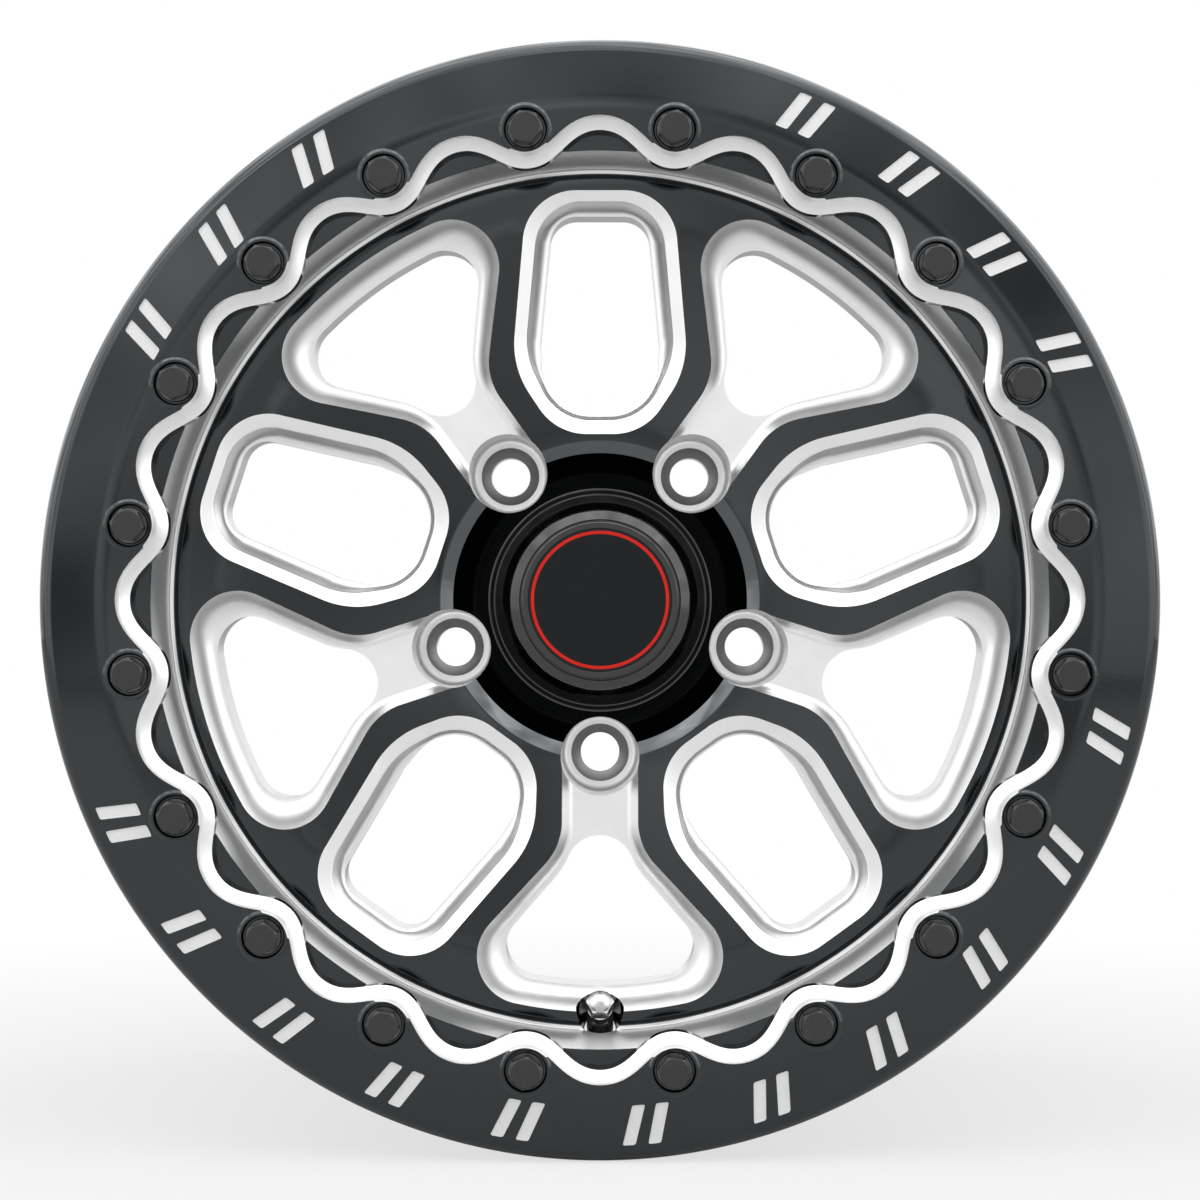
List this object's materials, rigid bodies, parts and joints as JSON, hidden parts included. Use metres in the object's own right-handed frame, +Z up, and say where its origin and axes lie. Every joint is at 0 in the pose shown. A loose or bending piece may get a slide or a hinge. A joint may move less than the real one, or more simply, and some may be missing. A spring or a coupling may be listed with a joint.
{
  "type": "beadlock wheel",
  "caption": "Black and machined beadlock wheel for a car, with a scalloped bolted clamp ring, a centre cap and a metal valve.",
  "frame": {"origin": "centre of the hub mounting face, on the axle line", "axes": "+Y along the axle towards the car, -Y is the street side, +Z is up with the valve at the bottom"},
  "size_m": [0.4189, 0.2906, 0.419],
  "materials": {
    "gloss_black": "gloss",
    "bolt_black": "satin",
    "cap_black": "gloss",
    "badge_charcoal": "satin",
    "badge_red": "gloss",
    "plain_steel": "satin",
    "bright_metal": "polished",
    "seal_rubber": "matte",
    "core_brass": "satin"
  },
  "bodies": {
    "wheel": {"wheel_rim": "gloss_black", "beadlock_ring": "gloss_black", "thread_inserts": "plain_steel", "clamp_bolt_01": "bolt_black", "clamp_bolt_02": "bolt_black", "clamp_bolt_03": "bolt_black", "clamp_bolt_04": "bolt_black", "clamp_bolt_05": "bolt_black", "clamp_bolt_06": "bolt_black", "clamp_bolt_07": "bolt_black", "clamp_bolt_08": "bolt_black", "clamp_bolt_09": "bolt_black", "clamp_bolt_10": "bolt_black", "clamp_bolt_11": "bolt_black", "clamp_bolt_12": "bolt_black", "clamp_bolt_13": "bolt_black", "clamp_bolt_14": "bolt_black", "clamp_bolt_15": "bolt_black", "clamp_bolt_16": "bolt_black", "clamp_bolt_17": "bolt_black", "clamp_bolt_18": "bolt_black", "clamp_bolt_19": "bolt_black", "clamp_bolt_20": "bolt_black", "bolt_washer_01": "bolt_black", "bolt_washer_02": "bolt_black", "bolt_washer_03": "bolt_black", "bolt_washer_04": "bolt_black", "bolt_washer_05": "bolt_black", "bolt_washer_06": "bolt_black", "bolt_washer_07": "bolt_black", "bolt_washer_08": "bolt_black", "bolt_washer_09": "bolt_black", "bolt_washer_10": "bolt_black", "bolt_washer_11": "bolt_black", "bolt_washer_12": "bolt_black", "bolt_washer_13": "bolt_black", "bolt_washer_14": "bolt_black", "bolt_washer_15": "bolt_black", "bolt_washer_16": "bolt_black", "bolt_washer_17": "bolt_black", "bolt_washer_18": "bolt_black", "bolt_washer_19": "bolt_black", "bolt_washer_20": "bolt_black", "centre_cap": "cap_black", "cap_badge": "badge_charcoal", "badge_ring": "badge_red", "cap_spring_ring": "plain_steel", "valve_stem": "bright_metal", "valve_grommet": "seal_rubber", "valve_washer": "bright_metal", "valve_nut": "bright_metal", "valve_core": "core_brass", "valve_spring": "plain_steel"},
    "cap": {"valve_cap": "bright_metal", "valve_cap_seal": "seal_rubber"},
    "pin": {"valve_pin": "core_brass"}
  },
  "joints": [
    {"name": "valve_cap_slide", "type": "slide", "parent": "wheel", "child": "cap", "axis": [0, -0.866, 0.5], "range_m": [0, 0.016]},
    {"name": "valve_pin_slide", "type": "slide", "parent": "wheel", "child": "pin", "axis": [0, 0.866, -0.5], "range_m": [0, 0.001], "stiffness_N_per_m": 800, "springref_m": -0.001}
  ]
}
